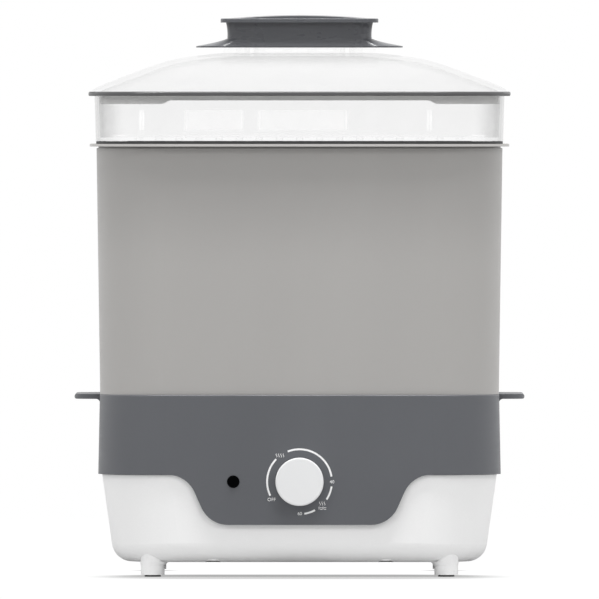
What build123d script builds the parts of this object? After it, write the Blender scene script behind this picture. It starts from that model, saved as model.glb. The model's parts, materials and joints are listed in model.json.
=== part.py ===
from build123d import *
import os
from math import cos, radians, sin

# Steam steriliser and dryer for feeding bottles, in millimetres.
# X runs to the right, the dial faces -Y, Z is up, and the feet stand on Z = 0.
# A plan is a rounded rectangle: (half width, half depth, corner radius, height).

DEPTH_LESS = 6.0  # each half depth is this much under the half width
CORNER = 42.0  # plan corner radius of the lower body

# Levels from the floor upward
PAD_BOTTOM = 0.0
FOOT_BOTTOM = 1.1
BASE_BOTTOM = 9.1
PANEL_BOTTOM = 32.6
COLLAR_BOTTOM = 63.8
DECK_TOP = 113.6
BIN_FLANGE_LOW = 268.4
BIN_TOP = 270.0
TRAY_LOW = 271.6
TRAY_TOP = 300.0
LID_FRAME_TOP = 302.7
LID_FLANGE_TOP = 303.9
DOME_TOP = 327.0
VENT_TOP = 330.4
SKIRT_TOP = 336.0
GRIP_TOP = 346.1
PLATE_EDGE_TOP = 348.6
TOTAL_HEIGHT = 350.8

# Outlines of the base and the collar
BASE_FOOT_HALF = (115.7, 115.0)
BASE_SHOULDER_HALF = (123.3, 117.0)
BASE_SHOULDER = 63.5
BASE_LIP_HALF = (121.4, 115.0)
BASE_LIP_TOP = 101.0
BASE_EDGE_FILLET = 12.5
BASE_WALL = 2.6
FLOOR_INSET = 3.7
COLLAR_LOW_HALF = (125.8, 119.3)
COLLAR_TOP_HALF = (124.8, 119.3)
COLLAR_WALL = 2.2
DECK_THICK = 3.0
RECESS_HALF = (114.0, 108.0)
RECESS_CORNER = 34.0
RECESS_FLOOR = 104.6
RECESS_THICK = 2.0

# Side handle ledges
LEDGE_HALF_X = 140.9
LEDGE_HALF_Y = 58.0
LEDGE_CORNER = 14.0
LEDGE_LOW = 110.4
LEDGE_HIGH = 113.4
LEDGE_ROOT_FILLET = 2.6
LEDGE_TIP = 1.3

# Front panel: a flat apron whose lower edge is an S curve on each side
PANEL_HALF_TOP = 82.1
S_RADIUS = 18.2
S_SWEEP = 66.0
S_STRAIGHT = 10.6
PANEL_OUT = COLLAR_LOW_HALF[1]
PANEL_IN = PANEL_OUT - COLLAR_WALL

# Dial
DIAL_Z = 59.5
KNOB_RADIUS = 15.0
KNOB_GAP = 0.5
KNOB_THICK = 9.0
SHAFT_RADIUS = 3.0
SHAFT_FIT = 0.05
ARC_RADIUS = 20.2
ARC_WIDTH = 1.15
PRINT_THICK = 0.12
ARCS = ((244.4, 314.0), (338.6, 440.9), (98.5, 123.3), (151.6, 171.4))
LENS_X = -41.3
LENS_RADIUS = 3.9

# Feet and the casing screws
FOOT_X = 91.6
FOOT_Y = 101.0
FOOT_RADIUS = 7.4
FOOT_FLARE = 3.0
PAD_RADIUS = 5.05
PAD_DEPTH = 2.0
WELL_RADIUS = 3.9
WELL_WALL = 2.0
WELL_TOP = 40.0
WELL_WEB = 3.0
SCREW_RADIUS = 1.95
CASING_SCREWS = ((54.0, -103.5), (-54.0, -103.5), (76.0, 96.0), (-76.0, 96.0))

# Bin, rack, tray and lid
BIN_LOW_HALF = (124.6, 117.0)
BIN_HIGH_HALF = (126.9, 119.3)
BIN_FLANGE_HALF = (131.1, 125.1)
BIN_GROOVE_LOW = 267.3
BIN_WALL = 2.2
BIN_FLOOR = 2.5
BIN_MOUTH_HALF = (104.0, 98.0)
SPIGOT_HALF = (112.5, 106.5)
SPIGOT_LOW = 108.5
RACK_HALF = (121.0, 113.4)
RACK_THICK = 3.0
POST_HEIGHT = 66.0
TRAY_LOW_HALF = (127.3, 121.3)
TRAY_HIGH_HALF = (128.1, 122.1)
TRAY_WALL = 2.6
TRAY_FLOOR = 2.4
TRAY_SPIGOT_HALF = (123.4, 115.8)
TRAY_SPIGOT_LOW = 264.0
INSERT_TOP = 291.0
LID_FRAME_HALF = (131.9, 125.9)
LID_SKIRT_HALF = (124.5, 118.5)
LID_SKIRT_WALL = 1.8
LID_SKIRT_LOW = 294.9
LID_SKIRT_RELIEF = 297.2
BEAD_TOP = 301.0
LID_FLANGE_HALF = (129.4, 123.4)
DOME_WALL = 2.0

# Lid handle
VENT_HALF = (47.6, 21.4)
HANDLE_SKIRT_HALF = (64.9, 22.0)
GRIP_LOW_HALF = (45.3, 20.3)
GRIP_HIGH_HALF = (46.2, 21.2)
PLATE_HALF = (49.5, 25.5)
PLATE_CROWN_RADIUS = 467.0
HANDLE_POSTS = (-30.0, 30.0)
HANDLE_POST_RADIUS = 4.5
HANDLE_POST_TOP = 339.0

# Steam dish and its heater
DISH_HOLE = 64.0
DISH_FLANGE = 70.0
DISH_RADIUS = 61.0
DISH_BOTTOM = 88.0
DISH_SHEET = 0.8
HEATER_PLATE_RADIUS = 50.0
HEATER_PLATE_THICK = 5.0
ELEMENT_RING = 38.0
ELEMENT_RADIUS = 3.3
POST_X = 78.0
STRAP_TOP = 75.2
STRAP_THICK = 1.6

# Blower, duct and air heater
BLOWER_X = -20.0
BLOWER_Y = -5.0
SCROLL_RADIUS = 42.0
SCROLL_LOW = 24.0
SCROLL_HIGH = 49.0
SCROLL_WALL = 1.8
WHEEL_RADIUS = 34.0
WHEEL_LOW = 28.0
WHEEL_HIGH = 45.0
BLADES = 28
MOTOR_RADIUS = 16.0
MOTOR_HIGH = 69.0
MOTOR_SHAFT = 1.5
DUCT_X = (78.0, 99.0)
DUCT_Y = (-49.0, -15.0)
DUCT_WALL = 1.8
DUCT_LOW = 20.0
AIR_HEATER_Z = (60.0, 80.0)
CHIMNEY_TOP = 112.4

# Filter drawer and mains entry at the back
FRAME_Y = 118.4
DRAWER_HALF_X = 32.0
DRAWER_Z = (30.0, 54.0)
DRAWER_BACK_Y = 84.0
SLEEVE_GAP = 1.0
SLEEVE_WALL = 2.0
COVER_HALF_X = 38.0
COVER_Z = (24.0, 60.0)
COVER_THICK = 2.4
GLAND_X = 56.0
GLAND_Z = 32.0
GLAND_BORE = 3.6
GLAND_BODY = 6.4
GLAND_COLLAR = 9.0
GLAND_IN_Y = 106.0
GLAND_OUT_Y = 121.5


# ---- small helpers ----


def plan(half_x, half_y, radius, z):
    """A rounded rectangle about the Z axis at height z."""
    return Plane.XY.offset(z) * RectangleRounded(2 * half_x, 2 * half_y, radius)


def prism(half, radius, low, high):
    """A rounded-rectangle prism between two heights."""
    return extrude(plan(*half, radius, low), high - low)


def tapered(low_half, low_radius, low, high_half, high_radius, high):
    """A straight-sided solid between two rounded rectangles."""
    return loft(
        [plan(*low_half, low_radius, low), plan(*high_half, high_radius, high)],
        ruled=True,
    )


def inset(half, amount):
    """A half width and half depth, both made smaller."""
    return half[0] - amount, half[1] - amount


def block(x, y, z):
    """A box from its low and high value on each axis."""
    centre = [(low + high) / 2 for low, high in (x, y, z)]
    size = [high - low for low, high in (x, y, z)]
    return Pos(*centre) * Box(*size)


def rod(x, y, low, high, radius):
    """An upright round bar."""
    return Pos(x, y, (low + high) / 2) * Cylinder(radius, high - low)


def bar_y(x, z, low_y, high_y, radius):
    """A round bar along Y."""
    return Pos(x, (low_y + high_y) / 2, z) * Rot(X=90) * Cylinder(radius, high_y - low_y)


def ring(outer, inner, low, high):
    """A flat round ring about the Z axis."""
    return rod(0, 0, low, high, outer) - rod(0, 0, low, high, inner)


def write(name, *solids):
    """Write one node's solids to its own file."""
    shape = solids[0] if len(solids) == 1 else Compound(children=list(solids))
    export_step(shape, f"parts/{name}.step")


# ---- base ----


def base_cavity():
    """The room inside the base casing, up through its open top."""
    floor = BASE_BOTTOM + BASE_WALL
    lower = tapered(
        inset(BASE_FOOT_HALF, BASE_WALL),
        CORNER - BASE_WALL,
        floor,
        inset(BASE_SHOULDER_HALF, BASE_WALL + 1.0),
        CORNER - BASE_WALL,
        BASE_SHOULDER - 1.0,
    )
    lower = fillet(lower.edges().group_by(Axis.Z)[0], BASE_EDGE_FILLET - BASE_WALL)
    lip = inset(BASE_LIP_HALF, BASE_WALL)
    return lower + prism(lip, CORNER - 5.0, BASE_SHOULDER - 1.0, BASE_LIP_TOP)


def casing_form():
    """The casing's drafted outer form with its rounded lower edge."""
    form = tapered(
        BASE_FOOT_HALF, CORNER, BASE_BOTTOM, BASE_SHOULDER_HALF, CORNER, BASE_SHOULDER
    )
    return fillet(form.edges().group_by(Axis.Z)[0], BASE_EDGE_FILLET)


def foot(x, y):
    """One foot: a round stem up into the corner, flared towards the base's middle."""
    length = (x * x + y * y) ** 0.5
    inward = FOOT_FLARE / 2
    low = Pos(x, y, BASE_BOTTOM - 2.4) * Circle(FOOT_RADIUS)
    middle = (x - x / length * inward, y - y / length * inward)
    high = Pos(*middle, BASE_BOTTOM + 0.4) * Circle(FOOT_RADIUS + inward)
    stem = rod(x, y, FOOT_BOTTOM, BASE_BOTTOM + 8.0, FOOT_RADIUS)
    return stem + loft([low, high], ruled=True)


def base_shell():
    """The light lower tub, before its floor is parted from its walls."""
    shell = casing_form()
    shell += prism(BASE_LIP_HALF, CORNER - 2.4, BASE_SHOULDER, BASE_LIP_TOP)
    seat = block((-41.5, 41.5), (112.0, FRAME_Y), (20.5, 62.0))
    seat = fillet(seat.edges().filter_by(Axis.Y), 4.0)
    shell += seat
    return shell - base_cavity()


def floor_column():
    """The room over the base's floor, which parts it from the casing's walls."""
    half = inset(BASE_FOOT_HALF, FLOOR_INSET)
    return prism(half, CORNER - FLOOR_INSET - 2.0, 0.0, WELL_TOP + 5.0)


def base_casing():
    """The light lower casing: drafted walls, rounded under, with an upper lip."""
    shell = base_shell() - floor_column()
    shell -= drawer_way(100.0, FRAME_Y + 1.0)
    notch = block((-47.5, 47.5), (-125.0, -105.0), (36.0, BASE_LIP_TOP + 1.0))
    shell -= fillet(notch.edges().filter_by(Axis.Y).group_by(Axis.Z)[0], 6.0)
    return shell - bar_y(GLAND_X, GLAND_Z, 100.0, 125.0, GLAND_BODY)


def base_floor():
    """The casing's floor, with its air slots, screw wells and blower posts."""
    floor = base_shell() & floor_column()
    for x, y in CASING_SCREWS:
        floor += rod(x, y, BASE_BOTTOM + 1.0, WELL_TOP, WELL_RADIUS + WELL_WALL)
    for x, y in scroll_feet():
        floor += rod(x, y, BASE_BOTTOM + 1.0, SCROLL_LOW, 4.0) - rod(x, y, 12.0, 30.0, 1.5)
    for x, y in CASING_SCREWS:
        floor -= rod(x, y, 0.0, WELL_TOP - WELL_WEB, WELL_RADIUS)
        floor -= rod(x, y, 0.0, WELL_TOP + 1.0, SCREW_RADIUS + 0.2)
    for x in range(-60, 61, 12):
        for y in (-62.0, 62.0):
            slot = Pos(x, y, BASE_BOTTOM) * extrude(SlotOverall(30, 4, 90), 8, both=True)
            floor -= slot
    return floor


def base_feet():
    """Four moulded feet, each flared against the casing's rounded edge."""
    form = casing_form()
    pads = foot_pads()
    spots = [(x, y) for x in (-FOOT_X, FOOT_X) for y in (-FOOT_Y, FOOT_Y)]
    return [foot(x, y) - form - pad for (x, y), pad in zip(spots, pads)]


def drawer_way(low_y, high_y):
    """The room that the filter drawer slides in."""
    return block(
        (-DRAWER_HALF_X - SLEEVE_GAP, DRAWER_HALF_X + SLEEVE_GAP),
        (low_y, high_y),
        (DRAWER_Z[0] - SLEEVE_GAP, DRAWER_Z[1] + SLEEVE_GAP),
    )


def filter_sleeve():
    """The sleeve behind the filter drawer, on two feet, against the casing's back."""
    reach = SLEEVE_GAP + SLEEVE_WALL
    sleeve = block(
        (-DRAWER_HALF_X - reach, DRAWER_HALF_X + reach),
        (DRAWER_BACK_Y - 2.0, FRAME_Y),
        (DRAWER_Z[0] - reach, DRAWER_Z[1] + reach),
    )
    for x in (-26.0, 26.0):
        sleeve += block((x - 1, x + 1), (DRAWER_BACK_Y, 108.0), (BASE_BOTTOM, 29.0))
    sleeve = sleeve & base_cavity()
    return sleeve - drawer_way(DRAWER_BACK_Y - 4.0, FRAME_Y + 1.0)


def scroll_feet():
    """Where the blower is screwed to the casing floor."""
    reach = SCROLL_RADIUS + 5.0
    spots = []
    for turn in (100.0, 170.0, 240.0):
        x = BLOWER_X + reach * cos(radians(turn))
        y = BLOWER_Y + reach * sin(radians(turn))
        spots.append((x, y))
    return spots


def foot_pads():
    """Four rubber pads, each pressed into a foot."""
    pads = []
    for x in (-FOOT_X, FOOT_X):
        for y in (-FOOT_Y, FOOT_Y):
            pads.append(rod(x, y, PAD_BOTTOM, FOOT_BOTTOM + PAD_DEPTH, PAD_RADIUS))
    return pads


def pan_screw(x, y, head_z, shank, head_radius, shank_radius):
    """A pan-head screw driven upward, with its head's top face at head_z."""
    head = rod(x, y, head_z - 2.2, head_z, head_radius)
    cross = Pos(x, y, head_z - 2.2) * (Box(3.4, 0.8, 2.0) + Box(0.8, 3.4, 2.0))
    return head + rod(x, y, head_z, head_z + shank, shank_radius) - cross


def casing_screws():
    """The four long-reach screws that pull the housing down onto the casing."""
    head_z = WELL_TOP - WELL_WEB
    return [pan_screw(x, y, head_z, 15.0, 3.4, SCREW_RADIUS) for x, y in CASING_SCREWS]


# ---- upper housing ----


def panel_outline():
    """The front apron seen from the front, as a face in X and Z."""
    first = JernArc((PANEL_HALF_TOP, COLLAR_BOTTOM), (-1, 0), S_RADIUS, S_SWEEP)
    straight = Line(first @ 1, first @ 1 + (first % 1) * S_STRAIGHT)
    second = JernArc(straight @ 1, straight % 1, S_RADIUS, -S_SWEEP)
    low_right = second @ 1
    right = first + straight + second
    left = mirror(right, Plane.YZ)
    bottom = Line(low_right, (-low_right.X, low_right.Y))
    shoulder = COLLAR_BOTTOM + 1.0
    top = Polyline(
        (PANEL_HALF_TOP, COLLAR_BOTTOM),
        (PANEL_HALF_TOP, shoulder),
        (-PANEL_HALF_TOP, shoulder),
        (-PANEL_HALF_TOP, COLLAR_BOTTOM),
    )
    return make_face(right + bottom + left + top)


def ledge():
    """One side handle: a thin ledge with a filleted root, on the +X side."""
    root = COLLAR_TOP_HALF[0] + 0.06
    profile = Polyline(
        (root - 2.0, LEDGE_HIGH),
        (LEDGE_HALF_X, LEDGE_HIGH),
        (LEDGE_HALF_X, LEDGE_LOW),
        (root, LEDGE_LOW),
        (root, LEDGE_LOW - 4.0),
        (root - 2.0, LEDGE_LOW - 4.0),
        close=True,
    )
    face = make_face(profile)
    corners = face.vertices().sort_by(Axis.X)
    face = fillet(corners[-2:], LEDGE_TIP)
    inside = face.vertices().sort_by_distance((root, LEDGE_LOW))[0]
    face = fillet(inside, LEDGE_ROOT_FILLET)
    bar = extrude(Plane.XZ * face, LEDGE_HALF_Y, both=True)
    outline = (LEDGE_HALF_X, LEDGE_HALF_Y)
    return bar & prism(outline, LEDGE_CORNER, LEDGE_LOW - 5.0, LEDGE_HIGH + 1.0)


def side_ledges():
    """The two side handles, fixed to the collar's sides just under the deck."""
    right = ledge() - collar_form()
    return [right, mirror(right, Plane.YZ)]


def collar_form():
    """The collar's outer form."""
    form = tapered(
        COLLAR_LOW_HALF, CORNER, COLLAR_BOTTOM, COLLAR_TOP_HALF, CORNER, DECK_TOP
    )
    return fillet(form.edges().group_by(Axis.Z)[-1], 0.9)


def upper_housing():
    """The dark collar: a drafted wall, the lip under the deck, and the front apron."""
    top_half = inset(COLLAR_TOP_HALF, COLLAR_WALL)
    inner_corner = CORNER - COLLAR_WALL
    deck_low = DECK_TOP - DECK_THICK
    body = collar_form() - tapered(
        inset(COLLAR_LOW_HALF, COLLAR_WALL),
        inner_corner,
        COLLAR_BOTTOM,
        top_half,
        inner_corner,
        deck_low,
    )
    body -= prism(top_half, inner_corner, deck_low, DECK_TOP + 1.0)
    lip = prism(inset(top_half, -0.2), inner_corner, deck_low - 1.8, deck_low)
    body += lip - prism(inset(top_half, 2.0), inner_corner - 2.0, deck_low - 2.0, deck_low)
    body += extrude(Plane.XZ.offset(PANEL_IN) * panel_outline(), COLLAR_WALL)
    for x, z in board_posts():
        body += bar_y(x, z, -PANEL_IN - 0.5, -109.0, 2.6)
        body -= bar_y(x, z, -116.0, -109.0, 1.2)
    body -= bar_y(0.0, DIAL_Z, -125.0, -112.0, SHAFT_RADIUS + 1.0)
    body -= bar_y(LENS_X, DIAL_Z, -125.0, -112.0, LENS_RADIUS - 0.6)
    return body


def deck_plate():
    """The deck inside the collar: its sunk floor, dish hole, screw bosses and heater posts."""
    deck_low = DECK_TOP - DECK_THICK
    under = RECESS_FLOOR - RECESS_THICK
    tub = (RECESS_HALF[0] + 2.0, RECESS_HALF[1] + 2.0)
    body = prism(inset(COLLAR_TOP_HALF, COLLAR_WALL), CORNER - COLLAR_WALL, deck_low, DECK_TOP)
    body += prism(tub, RECESS_CORNER + 2.0, under, deck_low)
    body -= prism(RECESS_HALF, RECESS_CORNER, RECESS_FLOOR, DECK_TOP + 1.0)
    for x, y in CASING_SCREWS:
        body += rod(x, y, WELL_TOP, under + 0.5, 5.0)
        body -= rod(x, y, WELL_TOP, WELL_TOP + 18.0, SCREW_RADIUS)
    for x in (-POST_X, POST_X):
        body += rod(x, 0.0, STRAP_TOP, under + 0.5, 4.5)
        body -= rod(x, 0.0, STRAP_TOP, STRAP_TOP + 14.0, 1.6)
    body -= rod(0, 0, under - 1.0, RECESS_FLOOR + 1.0, DISH_HOLE)
    return body - chimney_hole(0.3)


def chimney_hole(room):
    """The opening that the warm-air chimney passes through."""
    x = (DUCT_X[0] + DUCT_WALL - room, DUCT_X[1] - DUCT_WALL + room)
    y = (DUCT_Y[0] + DUCT_WALL - room, DUCT_Y[1] - DUCT_WALL + room)
    return block(x, y, (RECESS_FLOOR - 5.0, RECESS_FLOOR + 1.0))


# ---- dial and control board ----


def board_posts():
    """Centres, in X and Z, of the four posts behind the apron."""
    return [(x, z) for x in (-37.0, 37.0) for z in (41.5, 72.5)]


def dial_knob():
    """The flat round knob, hollow behind, with a hub for the shaft."""
    back = -PANEL_OUT - KNOB_GAP
    front = back - KNOB_THICK
    cap = bar_y(0.0, DIAL_Z, front, back, KNOB_RADIUS)
    cap = fillet(cap.edges().group_by(Axis.Y)[0], 0.9)
    cap -= bar_y(0.0, DIAL_Z, front + 2.0, back, KNOB_RADIUS - 1.8)
    cap += bar_y(0.0, DIAL_Z, front + 1.5, back, SHAFT_RADIUS + 1.8)
    return cap - bar_y(0.0, DIAL_Z, front + 3.0, back, SHAFT_RADIUS)


def knob_shaft():
    """The selector's spindle, from the knob's hub into the switch."""
    front = -PANEL_OUT - KNOB_GAP - KNOB_THICK
    return bar_y(0.0, DIAL_Z, front + 3.0, -109.6, SHAFT_RADIUS)


def selector_switch():
    """The rotary switch on the board, bored for the spindle."""
    body = block((-8.0, 8.0), (-116.4, -109.0), (DIAL_Z - 8.0, DIAL_Z + 8.0))
    body = fillet(body.edges().filter_by(Axis.Y), 1.5)
    return body - bar_y(0.0, DIAL_Z, -117.0, -109.5, SHAFT_RADIUS + SHAFT_FIT)


def dial_markings():
    """Thin printed arcs round the knob, with a plume and a fan blade as plain signs."""
    face_y = PANEL_OUT
    marks = []
    for start, end in ARCS:
        outer = ARC_RADIUS + ARC_WIDTH / 2
        inner = ARC_RADIUS - ARC_WIDTH / 2
        band = CenterArc((0, 0), outer, 90 - end, end - start)
        back = CenterArc((0, 0), inner, 90 - end, end - start)
        face = make_face(
            band + Line(band @ 1, back @ 1) + back + Line(back @ 0, band @ 0)
        )
        marks.append(printed(face, 0.0, DIAL_Z, face_y))
    for x, z in sign_places():
        for step in (-2.6, 0.0, 2.6):
            marks.append(printed(SlotOverall(5.0, 0.9, 90), x + step, z, face_y))
    return marks


def sign_places():
    """Centres of the two steam signs, beside the dial's first and fourth stops."""
    first = (radians(323.4), ARC_RADIUS + 0.6)
    second = (radians(136.8), ARC_RADIUS + 0.6)
    return [(r * sin(a), DIAL_Z + r * cos(a)) for a, r in (first, second)]


def printed(face, x, z, face_y):
    """A flat mark on the front panel, one print thick."""
    spot = Plane.XZ.offset(face_y) * Pos(x, z, 0) * face
    return extrude(spot, PRINT_THICK)


def indicator_lens():
    """The dark window of the power lamp, slightly domed."""
    back = -PANEL_IN + 1.5
    stem = bar_y(LENS_X, DIAL_Z, -PANEL_OUT, back, LENS_RADIUS - 0.6)
    head = bar_y(LENS_X, DIAL_Z, -PANEL_OUT - 0.9, -PANEL_OUT, LENS_RADIUS)
    head = fillet(head.edges().group_by(Axis.Y)[0], 0.7)
    return head + stem


def indicator_lamp():
    """The lamp that shines through the window, standing on the board."""
    body = bar_y(LENS_X, DIAL_Z, -113.6, -110.0, 1.5)
    return body + bar_y(LENS_X, DIAL_Z, -110.0, -109.0, 1.9)


def control_board():
    """The printed circuit board, bored for its four screws."""
    board = block((-45.0, 45.0), (-109.0, -107.4), (38.0, 76.0))
    board = fillet(board.edges().filter_by(Axis.Y), 2.0)
    for x, z in board_posts():
        board -= bar_y(x, z, -110.0, -107.0, 1.4)
    return board


def board_screws():
    """Four small screws that hold the board to its posts."""
    screws = []
    for x, z in board_posts():
        head = bar_y(x, z, -107.4, -105.8, 2.4)
        screws.append(head + bar_y(x, z, -115.0, -107.4, 1.2))
    return screws


def power_relay():
    """The relay that switches the steam heater."""
    case = block((14.0, 33.0), (-107.4, -92.0), (50.0, 65.0))
    return fillet(case.edges().filter_by(Axis.Y), 1.0)


def board_socket():
    """The board's plug-in wire socket, with a row of open ways."""
    case = block((-30.0, -8.0), (-107.4, -98.0), (44.0, 52.0))
    for step in range(4):
        x = -27.5 + 5.2 * step
        case -= block((x, x + 3.2), (-105.0, -98.0), (45.6, 50.4))
    return case


def board_capacitor():
    """The supply capacitor, an upright can on the board's back."""
    can = bar_y(-22.0, 64.0, -107.4, -91.0, 5.0)
    return fillet(can.edges().group_by(Axis.Y)[-1], 0.8)


# ---- steam dish ----


def steam_dish():
    """The steel dish that boils the water, one pressed sheet with a flange."""
    low = DISH_BOTTOM
    high = RECESS_FLOOR + DISH_SHEET
    outside = Polyline(
        (0, low),
        (DISH_RADIUS - 2.0, low),
        (DISH_RADIUS, RECESS_FLOOR),
        (DISH_FLANGE, RECESS_FLOOR),
        (DISH_FLANGE, high),
        (DISH_RADIUS - DISH_SHEET, high),
        (DISH_RADIUS - DISH_SHEET - 2.0, low + DISH_SHEET),
        (0, low + DISH_SHEET),
        close=True,
    )
    face = make_face(outside)
    corner = face.vertices().sort_by_distance((DISH_RADIUS - 2.0, low))[:2]
    face = fillet(corner[0], 7.0)
    inner = face.vertices().sort_by_distance(
        (DISH_RADIUS - DISH_SHEET - 2.0, low + DISH_SHEET)
    )[0]
    face = fillet(inner, 6.2)
    return revolve(Plane.XZ * face, Axis.Z)


def dish_seal():
    """The silicone ring that grips the dish's flange and seals it to the deck."""
    top = RECESS_FLOOR + DISH_SHEET
    outer = DISH_FLANGE + 3.0
    seal = ring(outer, DISH_RADIUS + 5.0, top, top + 1.8)
    seal = fillet(seal.edges().group_by(Axis.Z)[-1], 0.7)
    return seal + ring(outer, DISH_FLANGE, RECESS_FLOOR, top)


def heater_plate():
    """The aluminium plate that spreads the element's heat under the dish."""
    plate = rod(0, 0, DISH_BOTTOM - HEATER_PLATE_THICK, DISH_BOTTOM, HEATER_PLATE_RADIUS)
    return fillet(plate.edges().group_by(Axis.Z)[0], 1.0)


def heater_element():
    """The sheathed element: most of a ring, with two cold pins turned down."""
    centre_z = DISH_BOTTOM - HEATER_PLATE_THICK - ELEMENT_RADIUS - 0.02
    arc = CenterArc((0, 0, centre_z), ELEMENT_RING, 105, 330)
    section = Plane(origin=arc @ 0, z_dir=arc % 0) * Circle(ELEMENT_RADIUS)
    element = sweep(section, arc)
    for end in (arc @ 0, arc @ 1):
        pin = rod(end.X, end.Y, centre_z - 12.0, centre_z, 1.6)
        element += pin
    return element


def heater_strap():
    """The steel strap that presses the heater up against the dish."""
    reach = POST_X + 8.0
    low = STRAP_TOP - STRAP_THICK
    strap = block((-reach, reach), (-7.0, 7.0), (low, STRAP_TOP))
    strap = fillet(strap.edges().filter_by(Axis.Z), 5.0)
    for x in (-POST_X, POST_X):
        strap -= rod(x, 0.0, low - 1.0, STRAP_TOP + 1.0, 1.9)
    return strap


def strap_screws():
    """Two screws that fix the strap's ends to the housing posts."""
    head_z = STRAP_TOP - STRAP_THICK
    return [pan_screw(x, 0.0, head_z, 13.0, 3.4, 1.6) for x in (-POST_X, POST_X)]


def thermostat():
    """The bimetal disc thermostat under the heater plate, with two tabs."""
    top = DISH_BOTTOM - HEATER_PLATE_THICK
    can = rod(0.0, 20.0, top - 6.0, top, 8.0)
    can += rod(0.0, 20.0, top - 9.0, top - 6.0, 6.4)
    for x in (-5.0, 5.0):
        can += block((x - 0.4, x + 0.4), (17.0, 23.0), (top - 15.0, top - 8.5))
    return can


def thermal_fuse():
    """The one-shot fuse, clipped flat under the heater plate."""
    top = DISH_BOTTOM - HEATER_PLATE_THICK
    clip = block((-12.0, 12.0), (-27.0, -17.0), (top - 1.2, top))
    barrel = Pos(0, -22.0, top - 3.0) * Rot(Y=90) * Cylinder(2.2, 14.0)
    leads = Pos(0, -22.0, top - 3.0) * Rot(Y=90) * Cylinder(0.6, 24.0)
    return clip + barrel + leads


# ---- blower and warm air ----


def scroll_plan(grow):
    """The blower scroll from above: a circle with a tangent outlet."""
    circle = Pos(BLOWER_X, BLOWER_Y) * Circle(SCROLL_RADIUS + grow)
    low = BLOWER_Y - SCROLL_RADIUS - grow
    high = low + 30.0 + 2 * grow
    outlet = Pos((BLOWER_X + DUCT_X[0]) / 2, (low + high) / 2)
    return circle + outlet * Rectangle(DUCT_X[0] - BLOWER_X, high - low)


def blower_scroll():
    """The blower's lower housing: floor, wall, inlet hole and three lugs."""
    body = extrude(Plane.XY.offset(SCROLL_LOW) * scroll_plan(0.0), SCROLL_HIGH - SCROLL_LOW)
    for x, y in scroll_feet():
        body += rod(x, y, SCROLL_LOW, SCROLL_LOW + 3.0, 5.5)
    room = Plane.XY.offset(SCROLL_LOW + SCROLL_WALL) * scroll_plan(-SCROLL_WALL)
    body -= extrude(room, SCROLL_HIGH - SCROLL_LOW)
    body -= block(
        (DUCT_X[0] - 10.0, DUCT_X[0] + 1.0),
        (BLOWER_Y - SCROLL_RADIUS + SCROLL_WALL, BLOWER_Y - SCROLL_RADIUS + 30.0 - SCROLL_WALL),
        (SCROLL_LOW + SCROLL_WALL, SCROLL_HIGH + 1.0),
    )
    body -= rod(BLOWER_X, BLOWER_Y, SCROLL_LOW - 1.0, SCROLL_LOW + 3.0, 25.0)
    for x, y in scroll_feet():
        body -= rod(x, y, SCROLL_LOW - 1.0, SCROLL_LOW + 4.0, 1.8)
    return body


def blower_cover():
    """The blower's top plate, with the motor's seat."""
    plate = extrude(Plane.XY.offset(SCROLL_HIGH) * scroll_plan(0.0), 1.6)
    seat = rod(BLOWER_X, BLOWER_Y, SCROLL_HIGH, SCROLL_HIGH + 4.0, MOTOR_RADIUS + 2.0)
    plate += seat - rod(BLOWER_X, BLOWER_Y, SCROLL_HIGH, SCROLL_HIGH + 5.0, MOTOR_RADIUS)
    plate -= rod(BLOWER_X, BLOWER_Y, SCROLL_HIGH - 1.0, SCROLL_HIGH + 2.0, 4.0)
    return plate


def blower_motor():
    """The blower's motor can, with a bearing boss below and two terminals above."""
    low = SCROLL_HIGH + 1.6
    can = rod(BLOWER_X, BLOWER_Y, low, MOTOR_HIGH, MOTOR_RADIUS)
    can = fillet(can.edges().group_by(Axis.Z)[-1], 2.0)
    can += rod(BLOWER_X, BLOWER_Y, SCROLL_HIGH, low, 3.8)
    for x in (-6.0, 6.0):
        tab = (BLOWER_X + x - 1.4, BLOWER_X + x + 1.4)
        can += block(tab, (BLOWER_Y + 7.6, BLOWER_Y + 8.4), (MOTOR_HIGH - 1.0, MOTOR_HIGH + 3.0))
    return can - rod(BLOWER_X, BLOWER_Y, SCROLL_HIGH - 1.0, MOTOR_HIGH - 6.0, MOTOR_SHAFT + SHAFT_FIT)


def motor_shaft():
    """The motor's spindle, down through the blower wheel's hub."""
    return rod(BLOWER_X, BLOWER_Y, WHEEL_LOW, MOTOR_HIGH - 6.5, MOTOR_SHAFT)


def blower_wheel():
    """The squirrel-cage wheel: a back disc with a hub, a ring of blades and a rim."""
    at = Pos(BLOWER_X, BLOWER_Y)
    disc = rod(0, 0, WHEEL_HIGH - 1.6, WHEEL_HIGH, WHEEL_RADIUS)
    rim = ring(WHEEL_RADIUS, WHEEL_RADIUS - 6.0, WHEEL_LOW, WHEEL_LOW + 1.4)
    hub = rod(0, 0, WHEEL_LOW + 2.0, WHEEL_HIGH, 4.5)
    wheel = disc + rim + hub
    blade = block((WHEEL_RADIUS - 6.0, WHEEL_RADIUS - 0.5), (-0.5, 0.5), (WHEEL_LOW, WHEEL_HIGH))
    blade = Pos(WHEEL_RADIUS, 0, 0) * Rot(Z=28) * Pos(-WHEEL_RADIUS, 0, 0) * blade
    blades = [Rot(Z=360.0 / BLADES * step) * blade for step in range(BLADES)]
    wheel = wheel + blades
    wheel = wheel & rod(0, 0, WHEEL_LOW, WHEEL_HIGH, WHEEL_RADIUS)
    return at * (wheel - rod(0, 0, 0.0, MOTOR_HIGH, MOTOR_SHAFT))


def blower_screws():
    """Three screws down through the blower's lugs into the casing posts."""
    screws = []
    for x, y in scroll_feet():
        head = rod(x, y, SCROLL_LOW + 3.0, SCROLL_LOW + 5.0, 3.2)
        screws.append(head + rod(x, y, SCROLL_LOW - 9.0, SCROLL_LOW + 3.0, 1.5))
    return screws


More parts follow.
